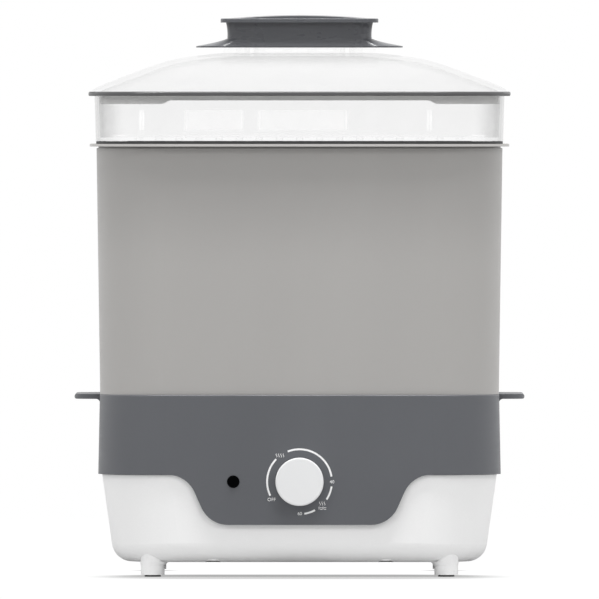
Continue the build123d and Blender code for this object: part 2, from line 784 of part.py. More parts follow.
def air_duct():
    """The upright duct from the blower's outlet to the deck."""
    top = RECESS_FLOOR - RECESS_THICK
    duct = block(DUCT_X, DUCT_Y, (DUCT_LOW, top))
    x = (DUCT_X[0] + DUCT_WALL, DUCT_X[1] - DUCT_WALL)
    y = (DUCT_Y[0] + DUCT_WALL, DUCT_Y[1] - DUCT_WALL)
    duct -= block(x, y, (DUCT_LOW + DUCT_WALL, top + 1.0))
    mouth = (BLOWER_Y - SCROLL_RADIUS + SCROLL_WALL, BLOWER_Y - SCROLL_RADIUS + 30.0 - SCROLL_WALL)
    duct -= block((DUCT_X[0] - 1, DUCT_X[0] + 3), mouth, (SCROLL_LOW + SCROLL_WALL, SCROLL_HIGH))
    return duct


def air_heater():
    """The ceramic heater block across the duct, with thin fins."""
    x = (DUCT_X[0] + DUCT_WALL, DUCT_X[1] - DUCT_WALL)
    y = (DUCT_Y[0] + DUCT_WALL, DUCT_Y[1] - DUCT_WALL)
    low, high = AIR_HEATER_Z
    frame = block(x, y, (low, high))
    frame -= block((x[0] + 1.6, x[1] - 1.6), (y[0] + 1.6, y[1] - 1.6), (low - 1, high + 1))
    middle = (x[0] + x[1]) / 2
    frame += block((middle - 1.2, middle + 1.2), (y[0] + 1, y[1] - 1), (low + 1, high - 1))
    fins = []
    for step in range(9):
        fin_y = y[0] + 3.6 + step * 2.9
        fins.append(block((x[0] + 1, x[1] - 1), (fin_y, fin_y + 0.5), (low + 1, high - 1)))
    return frame + fins


def outlet_grille():
    """The warm-air chimney on the deck: a flange, a tube and slats under a hood."""
    x = (DUCT_X[0] + DUCT_WALL, DUCT_X[1] - DUCT_WALL)
    y = (DUCT_Y[0] + DUCT_WALL, DUCT_Y[1] - DUCT_WALL)
    under = RECESS_FLOOR - RECESS_THICK
    body = block(x, y, (under, CHIMNEY_TOP))
    body += block((x[0] - 3, x[1] + 3), (y[0] - 3, y[1] + 3), (RECESS_FLOOR, RECESS_FLOOR + 1.6))
    body -= block((x[0] + 1.4, x[1] - 1.4), (y[0] + 1.4, y[1] - 1.4), (under - 1, CHIMNEY_TOP - 1.4))
    for step in range(7):
        slot_y = y[0] + 2.6 + step * 3.7
        body -= block((x[0] + 2.4, x[1] - 2.4), (slot_y, slot_y + 2.2), (CHIMNEY_TOP - 2, CHIMNEY_TOP + 1))
    return body


# ---- filter drawer and mains entry ----


def filter_cover():
    """The drawer's louvred front, with a finger lip along its lower edge."""
    out = FRAME_Y + COVER_THICK
    cover = block((-COVER_HALF_X, COVER_HALF_X), (FRAME_Y, out), COVER_Z)
    cover = fillet(cover.edges().filter_by(Axis.Y), 4.0)
    lip = block((-14.0, 14.0), (out - 0.5, out + 3.6), (COVER_Z[0] + 1.0, COVER_Z[0] + 3.2))
    lip = fillet(lip.edges().filter_by(Axis.Z).group_by(Axis.Y)[-1], 3.0)
    cover += lip
    for step in range(6):
        z = 33.0 + step * 3.4
        slot = Pos(0, FRAME_Y, z) * Rot(X=90) * extrude(SlotOverall(56, 1.8), 6, both=True)
        cover -= slot
    return cover


def filter_tray():
    """The open frame behind the cover that carries the filter pad."""
    x = (-DRAWER_HALF_X, DRAWER_HALF_X)
    frame = block(x, (DRAWER_BACK_Y, FRAME_Y), DRAWER_Z)
    z = (DRAWER_Z[0] + 1.6, DRAWER_Z[1] - 1.6)
    frame -= block((x[0] + 1.6, x[1] - 1.6), (DRAWER_BACK_Y - 1, FRAME_Y + 1), z)
    for step in (-20.0, 0.0, 20.0):
        rib_y = (DRAWER_BACK_Y, DRAWER_BACK_Y + 1.6)
        frame += block((step - 0.9, step + 0.9), rib_y, DRAWER_Z)
    return frame


def filter_pad():
    """The foam pad that cleans the drying air."""
    x = (-DRAWER_HALF_X + 1.6, DRAWER_HALF_X - 1.6)
    return block(x, (DRAWER_BACK_Y + 1.6, DRAWER_BACK_Y + 15.0), (DRAWER_Z[0] + 1.6, DRAWER_Z[1] - 1.6))


def cord_gland():
    """The bush where the mains lead enters, clipped through the casing's back."""
    bush = bar_y(GLAND_X, GLAND_Z, GLAND_IN_Y, GLAND_OUT_Y, GLAND_BODY)
    bush += bar_y(GLAND_X, GLAND_Z, 116.6, GLAND_OUT_Y - 1.5, GLAND_COLLAR)
    bush = fillet(bush.edges().group_by(Axis.Y)[-1], 1.0)
    return bush - bar_y(GLAND_X, GLAND_Z, GLAND_IN_Y - 1, GLAND_OUT_Y + 1, GLAND_BORE)


def terminal_block():
    """The three-way block that joins the mains lead to the works."""
    low = BASE_BOTTOM + BASE_WALL
    case = block((47.0, 71.0), (74.0, 90.0), (low, low + 15.0))
    for step in range(3):
        x = 51.0 + 8.0 * step
        case -= rod(x, 82.0, low + 6.0, low + 16.0, 2.2)
        case -= bar_y(x, low + 5.0, 73.0, 91.0, 1.8)
    return case


# ---- bin and rack ----


def chamber_bin():
    """The tall drafted tub that holds the bottles, open at its floor's middle."""
    body = tapered(
        BIN_LOW_HALF, CORNER - 2.0, DECK_TOP, BIN_HIGH_HALF, CORNER, BIN_TOP - 0.4
    )
    groove = prism(inset(BIN_HIGH_HALF, -1.0), CORNER + 1.0, BIN_GROOVE_LOW, BIN_FLANGE_LOW)
    body -= groove - prism(inset(BIN_HIGH_HALF, 1.2), CORNER - 1.2, BIN_GROOVE_LOW, BIN_FLANGE_LOW)
    body += prism(BIN_FLANGE_HALF, CORNER + 5.8, BIN_FLANGE_LOW, BIN_TOP)
    spigot = prism(SPIGOT_HALF, RECESS_CORNER - 1.5, SPIGOT_LOW, DECK_TOP)
    body += spigot
    body -= tapered(
        inset(BIN_LOW_HALF, BIN_WALL),
        CORNER - 2.0 - BIN_WALL,
        DECK_TOP + BIN_FLOOR,
        inset(BIN_HIGH_HALF, BIN_WALL),
        CORNER - BIN_WALL,
        BIN_TOP,
    )
    body -= prism(BIN_MOUTH_HALF, 28.0, SPIGOT_LOW - 1.0, DECK_TOP + BIN_FLOOR + 1.0)
    inner = inset(SPIGOT_HALF, 2.0)
    return body - prism(inner, RECESS_CORNER - 3.5, SPIGOT_LOW - 1.0, DECK_TOP)


def bottle_places():
    """Centres of the six bottle places."""
    return [(x, y) for x in (-72.0, 0.0, 72.0) for y in (-52.0, 52.0)]


def bottle_rack():
    """The lift-out floor: a slotted plate with a crossed post at each place."""
    low = DECK_TOP + BIN_FLOOR
    high = low + RACK_THICK
    rack = prism(RACK_HALF, CORNER - 4.6, low, high)
    slots = []
    for column in range(-11, 12):
        for row in (-84.0, -28.0, 28.0, 84.0):
            slot = Pos(column * 9.4, row, low - 1.0) * extrude(SlotOverall(40, 4, 90), 6)
            slots.append(slot)
    rack = rack - slots
    for x, y in bottle_places():
        rack += rod(x, y, low, high, 21.0) - rod(x, y, low, high, 9.0)
        rack += Pos(x, y, 0) * bottle_post(low, high + POST_HEIGHT)
    return rack


def bottle_post(low, high):
    """Two crossed, tapering ribs that a bottle stands over, neck down."""
    side = make_face(
        Polyline((-15.0, low), (15.0, low), (8.0, high), (-8.0, high), close=True)
    )
    side = fillet(side.vertices().sort_by(Axis.Y)[-2:], 4.0)
    rib = extrude(Plane.XZ * side, 1.2, both=True)
    return Rot(Z=45) * rib + Rot(Z=-45) * rib


# ---- tray ----


def accessory_tray():
    """The clear shallow tray above the bin, with a slotted floor and a lower rib."""
    body = tapered(
        TRAY_LOW_HALF, CORNER + 2.0, TRAY_LOW, TRAY_HIGH_HALF, CORNER + 2.8, TRAY_TOP
    )
    body -= tapered(
        inset(TRAY_LOW_HALF, TRAY_WALL),
        CORNER - 0.6,
        TRAY_LOW + TRAY_FLOOR,
        inset(TRAY_HIGH_HALF, TRAY_WALL),
        CORNER + 0.2,
        TRAY_TOP,
    )
    rib = prism(TRAY_SPIGOT_HALF, CORNER - 3.5, TRAY_SPIGOT_LOW, TRAY_LOW)
    body += rib - prism(inset(TRAY_SPIGOT_HALF, 2.0), CORNER - 5.5, TRAY_SPIGOT_LOW, TRAY_LOW)
    slots = []
    for column in range(-8, 9):
        for row in (-78.0, 0.0, 78.0):
            slot = Pos(column * 12.6, row, TRAY_LOW - 1.0) * extrude(SlotOverall(58, 4.4, 90), 6)
            slots.append(slot)
    return body - slots


def cup_places():
    """Low and high X of the two small cups at the tray's front."""
    return ((-71.6, -35.3), (-25.9, 30.3))


def tray_insert():
    """The tray's loose divider: a slotted plate, two cross walls and two cup holes."""
    low = TRAY_LOW + TRAY_FLOOR
    floor = low + 1.4
    plate = prism((116.0, 108.0), 32.0, low, floor)
    slots = []
    for column in range(-8, 9):
        for row in (-66.0, 0.0, 66.0):
            slot = Pos(column * 12.6, row, low - 1.0) * extrude(SlotOverall(48, 4.4, 90), 4)
            slots.append(slot)
    plate = plate - slots
    for x in (-99.0, 81.6):
        plate += block((x - 0.9, x + 0.9), (-96.0, 96.0), (low, INSERT_TOP))
    for x in cup_places():
        hole = block((x[0] - 0.4, x[1] + 0.4), (-104.4, -51.6), (low - 1.0, floor + 1.0))
        plate -= fillet(hole.edges().filter_by(Axis.Z), 6.4)
    return plate


def tray_cups():
    """Two small open cups for teats, standing in the divider's holes."""
    low = TRAY_LOW + TRAY_FLOOR
    cups = []
    for x in cup_places():
        cup = block(x, (-104.0, -52.0), (low, INSERT_TOP))
        cup = fillet(cup.edges().filter_by(Axis.Z), 6.0)
        room = block((x[0] + 1.6, x[1] - 1.6), (-102.4, -53.6), (low + 1.4, INSERT_TOP + 1.0))
        cups.append(cup - fillet(room.edges().filter_by(Axis.Z), 4.4))
    return cups


def tray_seal():
    """The dark seal between the bin's flange and the tray."""
    outer = prism((127.1, 121.1), CORNER + 1.8, BIN_TOP, TRAY_LOW)
    return outer - prism((124.2, 116.6), CORNER - 2.6, BIN_TOP, TRAY_LOW)


# ---- lid ----


def seal_bead():
    """The top bead of the lid's seal, which sits in a groove under the rim."""
    bead = prism((LID_SKIRT_HALF[0] + 1.5, LID_SKIRT_HALF[1] + 1.5), CORNER + 0.5, TRAY_TOP, BEAD_TOP)
    inner = inset(LID_SKIRT_HALF, LID_SKIRT_WALL)
    return bead - prism(inner, CORNER - 2.8, TRAY_TOP - 1.0, BEAD_TOP + 1.0)


def lid_frame():
    """The lid's dark rim, grooved below for the seal."""
    body = prism(LID_FRAME_HALF, CORNER + 6.0, TRAY_TOP, LID_FRAME_TOP)
    body = fillet(body.edges().group_by(Axis.Z)[-1], 1.0)
    body = fillet(body.edges().group_by(Axis.Z)[0], 0.8)
    inner = inset(LID_SKIRT_HALF, LID_SKIRT_WALL)
    body -= prism(inner, CORNER - 2.8, TRAY_TOP - 1.0, LID_FRAME_TOP + 1.0)
    return body - seal_bead()


def lid_seal():
    """The lid's grey skirt seal, which drops inside the tray and is lower at the sides."""
    inner = inset(LID_SKIRT_HALF, LID_SKIRT_WALL)
    skirt = prism(LID_SKIRT_HALF, CORNER - 1.0, LID_SKIRT_LOW, TRAY_TOP)
    skirt -= prism(inner, CORNER - 2.8, LID_SKIRT_LOW - 1.0, TRAY_TOP + 1.0)
    relief = make_face(
        Polyline(
            (-81.6, LID_SKIRT_RELIEF),
            (81.6, LID_SKIRT_RELIEF),
            (86.6, LID_SKIRT_LOW - 0.1),
            (-86.6, LID_SKIRT_LOW - 0.1),
            close=True,
        )
    )
    return skirt - extrude(Plane.XZ * relief, 130.0, both=True) + seal_bead()


def dome_skin(drop, grow):
    """The dome's outer form, or with drop and grow its hollow."""
    levels = (
        (129.4, 123.4, 45.5, LID_FLANGE_TOP - 0.1),
        (118.8, 112.8, 38.0, 308.9),
        (107.2, 101.0, 32.0, 313.3),
        (94.0, 86.0, 27.0, 318.3),
        (79.3, 67.0, 23.0, 322.8),
        (60.0, 42.0, 18.0, 325.9),
        (47.6, 25.0, 12.0, DOME_TOP),
    )
    sections = [plan(x - grow, y - grow, max(r - grow, 4.0), z - drop) for x, y, r, z in levels]
    return loft(sections)


def lid_dome():
    """The clear lid: a flange and a low S-curved dome with a hole for the vent."""
    dome = prism(LID_FLANGE_HALF, 45.5, LID_FRAME_TOP, LID_FLANGE_TOP)
    dome += dome_skin(0.0, 0.0)
    dome -= dome_skin(DOME_WALL, DOME_WALL + 1.4)
    dome -= prism((125.9, 119.9), 41.5, LID_FRAME_TOP - 1.0, LID_FRAME_TOP)
    dome -= prism((122.0, 116.0), 37.0, LID_FRAME_TOP - 3.0, LID_FRAME_TOP + 1.0)
    return dome - prism(inset(VENT_HALF, 6.0), 4.0, DOME_TOP - 8.0, DOME_TOP + 1.0)


def vent_ring():
    """The steam vent on the dome's top: a flat ring slotted behind, two bosses and their ribs."""
    ring_low = DOME_TOP - 2.4
    vent = prism(VENT_HALF, 8.0, DOME_TOP - 1.2, VENT_TOP - 0.9)
    vent = fillet(vent.edges().group_by(Axis.Z)[-1], 0.8)
    vent += prism(inset(VENT_HALF, 3.0), 6.0, VENT_TOP - 1.2, VENT_TOP)
    vent -= dome_skin(0.0, 0.0)
    vent += prism(inset(VENT_HALF, 6.0), 4.0, ring_low, DOME_TOP)
    vent -= prism(inset(VENT_HALF, 8.0), 3.0, ring_low - 1.0, VENT_TOP + 1.0)
    for x in HANDLE_POSTS:
        vent += block((x - 1.2, x + 1.2), (-14.5, 14.5), (ring_low, VENT_TOP))
        vent += rod(x, 0.0, ring_low, HANDLE_POST_TOP, HANDLE_POST_RADIUS)
        vent -= rod(x, 0.0, VENT_TOP + 1.0, HANDLE_POST_TOP + 1.0, 1.6)
    for x in (-16.0, 0.0, 16.0):
        vent -= block((x - 5.0, x + 5.0), (8.0, 30.0), (VENT_TOP - 2.6, VENT_TOP - 0.9))
    return vent


# ---- lid handle ----


def handle_skirt():
    """The plate under the grip: steep in front and behind, swept out to a thin wing at each side."""
    levels = (
        (*HANDLE_SKIRT_HALF, 19.5, VENT_TOP + 0.9),
        (58.6, 21.5, 16.0, VENT_TOP + 2.1),
        (50.8, 20.9, 11.0, VENT_TOP + 3.8),
        (*GRIP_LOW_HALF, 7.5, SKIRT_TOP),
    )
    body = loft([plan(*level) for level in levels])
    body += prism(HANDLE_SKIRT_HALF, 19.5, VENT_TOP, VENT_TOP + 0.9)
    for x in HANDLE_POSTS:
        body -= rod(x, 0.0, VENT_TOP - 1.0, SKIRT_TOP + 1.0, HANDLE_POST_RADIUS + 0.1)
    return body


def handle_grip():
    """The waisted block that the hand pinches, bored for the vent's posts and their screws."""
    middle = ((GRIP_LOW_HALF[0] + GRIP_HIGH_HALF[0]) / 2 - 0.4,)
    middle += ((GRIP_LOW_HALF[1] + GRIP_HIGH_HALF[1]) / 2 - 0.4,)
    levels = (
        (*GRIP_LOW_HALF, 7.5, SKIRT_TOP),
        (*middle, 7.5, (SKIRT_TOP + GRIP_TOP) / 2),
        (*GRIP_HIGH_HALF, 7.5, GRIP_TOP),
    )
    body = loft([plan(*level) for level in levels])
    for x in HANDLE_POSTS:
        body -= rod(x, 0.0, SKIRT_TOP - 1.0, HANDLE_POST_TOP, HANDLE_POST_RADIUS + 0.1)
        body -= rod(x, 0.0, SKIRT_TOP, GRIP_TOP + 1.0, 1.8)
        body -= rod(x, 0.0, HANDLE_POST_TOP + 1.8, GRIP_TOP + 1.0, 4.2)
    return body


def handle_plate():
    """The crowned top plate that overhangs the grip."""
    flat = prism(PLATE_HALF, 8.5, GRIP_TOP, PLATE_EDGE_TOP)
    flat = fillet(flat.edges().group_by(Axis.Z)[-1], 0.6)
    ball = Pos(0, 0, TOTAL_HEIGHT - PLATE_CROWN_RADIUS) * Sphere(PLATE_CROWN_RADIUS)
    crown = prism(inset(PLATE_HALF, 1.2), 7.3, GRIP_TOP, TOTAL_HEIGHT + 1.0) & ball
    return flat + crown


def handle_screws():
    """Two screws, hidden under the top plate, down through the grip into the vent's posts."""
    head_low = HANDLE_POST_TOP + 1.8
    screws = []
    for x in HANDLE_POSTS:
        head = rod(x, 0.0, head_low, head_low + 2.2, 3.6)
        screws.append(head + rod(x, 0.0, VENT_TOP + 1.5, head_low, 1.6))
    return screws


def main():
    """Write every node."""
    os.makedirs("parts", exist_ok=True)
    write("base_casing", base_casing())
    write("base_floor", base_floor())
    write("base_feet", *base_feet())
    write("foot_pads", *foot_pads())
    write("casing_screws", *casing_screws())
    write("upper_housing", upper_housing())
    write("deck_plate", deck_plate())
    write("side_ledges", *side_ledges())
    write("dial_knob", dial_knob())
    write("knob_shaft", knob_shaft())
    write("selector_switch", selector_switch())
    write("dial_markings", *dial_markings())
    write("indicator_lens", indicator_lens())
    write("indicator_lamp", indicator_lamp())
    write("control_board", control_board())
    write("board_screws", *board_screws())
    write("power_relay", power_relay())
    write("board_socket", board_socket())
    write("board_capacitor", board_capacitor())
    write("steam_dish", steam_dish())
    write("dish_seal", dish_seal())
    write("heater_plate", heater_plate())
    write("heater_element", heater_element())
    write("heater_strap", heater_strap())
    write("strap_screws", *strap_screws())
    write("thermostat", thermostat())
    write("thermal_fuse", thermal_fuse())
    write("blower_scroll", blower_scroll())
    write("blower_cover", blower_cover())
    write("blower_motor", blower_motor())
    write("motor_shaft", motor_shaft())
    write("blower_wheel", blower_wheel())
    write("blower_screws", *blower_screws())
    write("air_duct", air_duct())
    write("air_heater", air_heater())
    write("outlet_grille", outlet_grille())
    write("filter_sleeve", filter_sleeve())
    write("filter_cover", filter_cover())
    write("filter_tray", filter_tray())
    write("filter_pad", filter_pad())
    write("cord_gland", cord_gland())
    write("terminal_block", terminal_block())
    write("chamber_bin", chamber_bin())
    write("bottle_rack", bottle_rack())
    write("accessory_tray", accessory_tray())
    write("tray_insert", tray_insert())
    write("tray_cups", *tray_cups())
    write("tray_seal", tray_seal())
    write("lid_frame", lid_frame())
    write("lid_seal", lid_seal())
    write("lid_dome", lid_dome())
    write("vent_ring", vent_ring())
    write("handle_skirt", handle_skirt())
    write("handle_grip", handle_grip())
    write("handle_plate", handle_plate())
    write("handle_screws", *handle_screws())


main()
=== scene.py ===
"""Looks for the bottle steriliser and dryer: materials, dial print, filter foam, studio and camera."""

import json
import math

import bmesh
import bpy
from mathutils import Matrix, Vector, noise


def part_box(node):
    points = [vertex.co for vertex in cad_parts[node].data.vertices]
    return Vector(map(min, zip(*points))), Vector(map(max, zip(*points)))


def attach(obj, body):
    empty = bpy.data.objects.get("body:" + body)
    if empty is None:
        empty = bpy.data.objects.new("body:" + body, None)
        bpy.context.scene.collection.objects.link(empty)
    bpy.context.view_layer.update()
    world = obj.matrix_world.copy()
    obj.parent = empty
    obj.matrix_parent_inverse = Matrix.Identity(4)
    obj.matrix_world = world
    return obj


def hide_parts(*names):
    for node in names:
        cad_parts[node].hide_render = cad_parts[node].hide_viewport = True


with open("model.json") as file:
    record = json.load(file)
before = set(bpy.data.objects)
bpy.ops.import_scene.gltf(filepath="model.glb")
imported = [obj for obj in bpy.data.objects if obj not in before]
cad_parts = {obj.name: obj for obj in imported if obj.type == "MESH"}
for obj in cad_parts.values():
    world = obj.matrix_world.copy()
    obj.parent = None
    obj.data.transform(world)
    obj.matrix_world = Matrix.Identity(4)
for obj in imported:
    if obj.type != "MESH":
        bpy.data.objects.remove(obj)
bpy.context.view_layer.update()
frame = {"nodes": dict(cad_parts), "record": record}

MM = 0.001
WHITE = (1.0, 1.0, 1.0, 1.0)

# Camera: a long lens straight at the front, a little above the object's middle.
CAMERA_AIM = Vector((0.0, -0.077, 0.17275))
CAMERA_DISTANCE = 15.6
CAMERA_RISE = math.radians(0.45)
CAMERA_LENS = 1500.0

# Dial print, in millimetres and in degrees clockwise from the top.
ARC_RADIUS = 20.2
ARC_WIDTH = 1.15
ARCS = ((244.4, 314.0), (338.6, 440.9), (98.5, 123.3), (151.6, 171.4))
PRINT_THICK = 0.05

# Screw wells under the base's front, painted near-black as the shade inside them: X, Y and radius, in
# metres.
SHADED_WELLS = ((-0.054, -0.1035, 0.0050), (0.054, -0.1035, 0.0050))

# Painted shade and light on the bin: it darkens from one height to the next towards its flange, then
# its flange is painted lighter: heights and factors.
BIN_PAINTED_SHADE = (0.19, 0.24, 1.0, 0.88)
BIN_PAINTED_LIP_LIGHT = (0.2684, 1.30)

# Clear mouldings: the tray's floor lies under one height and inside one half width, its walls end at
# another height, and the dome thins between two more.
TRAY_FLOOR_TOP = 0.2785
TRAY_FLOOR_HALF = 0.108
TRAY_WALL_TOP = 0.3015
DOME_THINS = (0.308, 0.322)

# Painted contact shade on the floor: the half width of its core, how far its front and back edges lie
# in front of the object's middle, the distances over which it fades, and the painted shadow spot at
# each rear foot.
SHADE_HALF = 0.058
SHADE_FRONT = 0.118
SHADE_BACK = 0.098
SHADE_FADE = (0.045, 0.080)
REAR_FOOT = (0.0916, 0.1010)
SPOT_FADE = (0.006, 0.018)

# Filter foam: cuts in each face, depth of its rough skin, and how far the corners draw in.
FOAM_CUTS = 23
FOAM_SKIN = 0.0002
FOAM_DRAW = 0.0009


# ---- node trees ----


class Nodes:
    """Short calls that make and join the nodes of one tree."""

    def __init__(self, tree):
        self.tree = tree

    def feed(self, socket, value):
        """Joins another node's output to a socket, or sets a constant on it."""
        if isinstance(value, bpy.types.NodeSocket):
            self.tree.links.new(value, socket)
        else:
            socket.default_value = value

    def add(self, kind, inputs=None, **settings):
        """A new node with its settings and inputs."""
        node = self.tree.nodes.new(kind)
        for name, value in settings.items():
            setattr(node, name, value)
        for socket, value in (inputs or {}).items():
            self.feed(node.inputs[socket], value)
        return node

    def sum(self, operation, a, b=0.0, clamp=False):
        """One step of arithmetic."""
        node = self.add("ShaderNodeMath", {0: a, 1: b}, operation=operation, use_clamp=clamp)
        return node.outputs[0]

    def stretch(self, value, low, high, new_low, new_high, smooth=False):
        """Maps a range of values onto another, and holds them inside it."""
        kind = "SMOOTHSTEP" if smooth else "LINEAR"
        inputs = {0: value, 1: low, 2: high, 3: new_low, 4: new_high}
        return self.add("ShaderNodeMapRange", inputs, interpolation_type=kind).outputs[0]

    def scaled(self, place, scale):
        """Coordinates scaled by a different amount on each axis."""
        node = self.add("ShaderNodeVectorMath", {0: place, 1: scale}, operation="MULTIPLY")
        return node.outputs[0]

    def cloud(self, place, scale, detail=2.0, rough=0.5, warp=0.0):
        """Soft noise from 0 to 1."""
        inputs = {
            "Vector": place,
            "Scale": scale,
            "Detail": detail,
            "Roughness": rough,
            "Distortion": warp,
        }
        return self.add("ShaderNodeTexNoise", inputs).outputs[0]

    def cells(self, place, scale, feature="F1", rand=1.0):
        """Distance to the nearest cell centre, or to the nearest cell edge."""
        inputs = {"Vector": place, "Scale": scale, "Randomness": rand}
        return self.add("ShaderNodeTexVoronoi", inputs, feature=feature).outputs["Distance"]

    def blend(self, factor, a, b):
        """A colour between a and b."""
        node = self.add("ShaderNodeMix", {0: factor, 6: a, 7: b}, data_type="RGBA")
        return node.outputs[2]

    def bump(self, height, depth, strength=1.0, normal=None):
        """A normal from a height map whose full range is depth metres."""
        inputs = {"Height": height, "Distance": depth, "Strength": strength}
        if normal is not None:
            inputs["Normal"] = normal
        return self.add("ShaderNodeBump", inputs).outputs[0]


class Surface(Nodes):
    """A material with one Principled shader."""

    def __init__(self, name, **inputs):
        self.made = bpy.data.materials.new(name)
        self.made.use_nodes = True
        super().__init__(self.made.node_tree)
        self.shader = self.tree.nodes["Principled BSDF"]
        self.output = self.tree.nodes["Material Output"]
        self.place = self.add("ShaderNodeTexCoord").outputs["Object"]
        self.set(**inputs)

    def set(self, **inputs):
        """Feeds the shader's inputs, each named with underscores for its spaces."""
        for name, value in inputs.items():
            self.feed(self.shader.inputs[name.replace("_", " ")], value)
        return self


def tone(colour, factor):
    """A colour made lighter or darker, with its alpha."""
    return tuple(min(1.0, c * factor) for c in colour) + (1.0,)


# ---- materials ----


def moulded(name, colour, rough, depth=0.000016, drift=0.03, painted_well_shade=(), painted_shade_fade=None, painted_lip_light=None, **inputs):
    """Moulded plastic: fine grain, flow clouds, smudges, painted shade in its screw wells, and painted
    shade that deepens with height up to a lip painted lighter.
    """
    s = Surface(name, **inputs)
    flow = s.cloud(s.scaled(s.place, (1.0, 1.0, 0.45)), 11.0, 3.0, 0.55, 0.6)
    fleck = s.cloud(s.place, 900.0, 1.0)
    mottle = s.sum("ADD", s.sum("MULTIPLY", flow, 0.8), s.sum("MULTIPLY", fleck, 0.2))
    base = s.blend(
        s.stretch(mottle, 0.32, 0.68, 0.0, 1.0),
        tone(colour, 1.0 - drift),
        tone(colour, 1.0 + drift),
    )
    # Painted shade: inside each screw well the colour drops nearly to black.
    for x, y, radius in painted_well_shade:
        spot = s.add("ShaderNodeVectorMath", {0: s.place, 1: (x, y, 0.0)}, operation="SUBTRACT")
        flat = s.scaled(spot.outputs[0], (1.0, 1.0, 0.0))
        away = s.add("ShaderNodeVectorMath", {0: flat}, operation="LENGTH").outputs["Value"]
        base = s.blend(s.sum("LESS_THAN", away, radius), base, tone(colour, 0.03))
    if painted_shade_fade:
        # Painted shade: the colour darkens with height towards the flange, and above the lip it is
        # painted lighter.
        z = s.add("ShaderNodeSeparateXYZ", {0: s.place}).outputs[2]
        shade = s.stretch(z, *painted_shade_fade, True)
        if painted_lip_light:
            shade = s.stretch(z, painted_lip_light[0], painted_lip_light[0] + 0.0004, shade, painted_lip_light[1])
        base = s.add("ShaderNodeVectorMath", {0: base, "Scale": shade}, operation="SCALE").outputs[0]
    smudge = s.cloud(s.place, 46.0, 5.0, 0.62, 0.3)
    wiped = s.cloud(s.scaled(s.place, (1.0, 1.0, 7.0)), 60.0, 3.0, 0.6)
    marks = s.sum("ADD", s.sum("MULTIPLY", smudge, 0.65), s.sum("MULTIPLY", wiped, 0.35))
    eroded = s.cloud(s.place, 1500.0, 3.0, 0.6)
    return s.set(
        Base_Color=base,
        Roughness=s.stretch(marks, 0.3, 0.7, rough - 0.05, rough + 0.06),
        Normal=s.bump(eroded, depth, 0.6),
    ).made


def clear(name, colour, rough, least, side, painted_rim_reflection, **inputs):
    """Clear thin moulding: see-through face on, and greyer where it turns away and at its rim, as a
    painted reflection.
    """
    s = Surface(name, Roughness=rough, IOR=1.49, **inputs)
    haze = s.cloud(s.place, 60.0, 4.0, 0.6)
    wave = s.cloud(s.scaled(s.place, (1.0, 1.0, 2.5)), 22.0, 2.0, 0.5, 0.5)
    turned = s.add("ShaderNodeLayerWeight", {"Blend": 0.5}).outputs["Facing"]
    x, y, z = s.add("ShaderNodeSeparateXYZ", {0: s.place}).outputs
    # Painted reflection: grey cover that grows where the walls turn away from view and at the rim.
    painted_flank_reflection = s.stretch(turned, 0.20, 0.52, 0.0, side, True)
    corner = s.stretch(turned, 0.50, 0.80, 0.0, 0.12, True)
    below = s.sum("LESS_THAN", z, TRAY_WALL_TOP)
    painted_wall_reflection = s.sum("MULTIPLY", s.sum("ADD", painted_flank_reflection, corner), below)
    edge = s.sum("MULTIPLY", s.sum("POWER", turned, 9.0), painted_rim_reflection)
    face = s.stretch(z, *DOME_THINS, least, least * 0.35)
    cover = s.sum("ADD", painted_wall_reflection, s.sum("ADD", edge, face))
    inset = s.sum("MAXIMUM", s.sum("ABSOLUTE", x), s.sum("ABSOLUTE", y))
    low = s.sum("LESS_THAN", z, TRAY_FLOOR_TOP)
    slots = s.sum("MULTIPLY", low, s.sum("LESS_THAN", inset, TRAY_FLOOR_HALF))
    cover = s.sum("MULTIPLY", cover, s.stretch(slots, 0.0, 1.0, 1.0, 0.12))
    streak = s.stretch(haze, 0.3, 0.7, 0.85, 1.15)
    cloudy = s.stretch(haze, 0.35, 0.65, 0.0, 1.0)
    return s.set(
        Base_Color=s.blend(cloudy, tone(colour, 0.97), tone(colour, 1.0)),
        Alpha=s.sum("MULTIPLY", cover, streak, True),
        Normal=s.bump(wave, 0.00004, 0.4),
    ).made


def rubber(name, colour, rough, bloom, **inputs):
    """Moulded rubber or silicone: fine tooth, with a dusty bloom in patches."""
    s = Surface(name, **inputs)
    dust = s.cloud(s.place, 85.0, 5.0, 0.65, 0.4)
    spots = s.cloud(s.place, 2400.0, 1.0)
    patches = s.stretch(dust, 0.42, 0.72, 0.0, 1.0)
    veil = s.sum("MULTIPLY", patches, s.stretch(spots, 0.3, 0.7, 0.4, 1.0))
    tooth = s.cloud(s.place, 1900.0, 3.0, 0.7)
    return s.set(
        Base_Color=s.blend(veil, tone(colour, 1.0), tone(colour, bloom)),
        Roughness=s.stretch(dust, 0.3, 0.7, rough, min(1.0, rough + 0.15)),
        Normal=s.bump(tooth, 0.00003, 0.6),
    ).made


def spun_steel(name, colour, rough):
    """Sheet steel spun about the Z axis: rings of fine scratches and a few water marks."""
    s = Surface(name, Metallic=1.0)
    x, y, z = s.add("ShaderNodeSeparateXYZ", {0: s.place}).outputs
    radius = s.sum("SQRT", s.sum("ADD", s.sum("MULTIPLY", x, x), s.sum("MULTIPLY", y, y)))
    ring = s.add("ShaderNodeCombineXYZ", {0: radius, 1: z, 2: 0.0}).outputs[0]
    lines = s.cloud(ring, 2600.0, 4.0, 0.7)
    scale = s.stretch(s.cells(s.place, 55.0), 0.2, 0.5, 1.0, 0.0)
    mark = s.sum("MULTIPLY", scale, s.cloud(s.place, 30.0, 4.0))
    stain = s.stretch(mark, 0.1, 0.6, 0.0, 1.0)
    worn = s.sum("ADD", lines, s.sum("MULTIPLY", mark, 0.6))
    return s.set(
        Base_Color=s.blend(stain, tone(colour, 1.0), tone(colour, 0.86)),
        Roughness=s.stretch(worn, 0.3, 1.0, rough - 0.06, rough + 0.2),
        Normal=s.bump(lines, 0.000012, 0.7),
    ).made


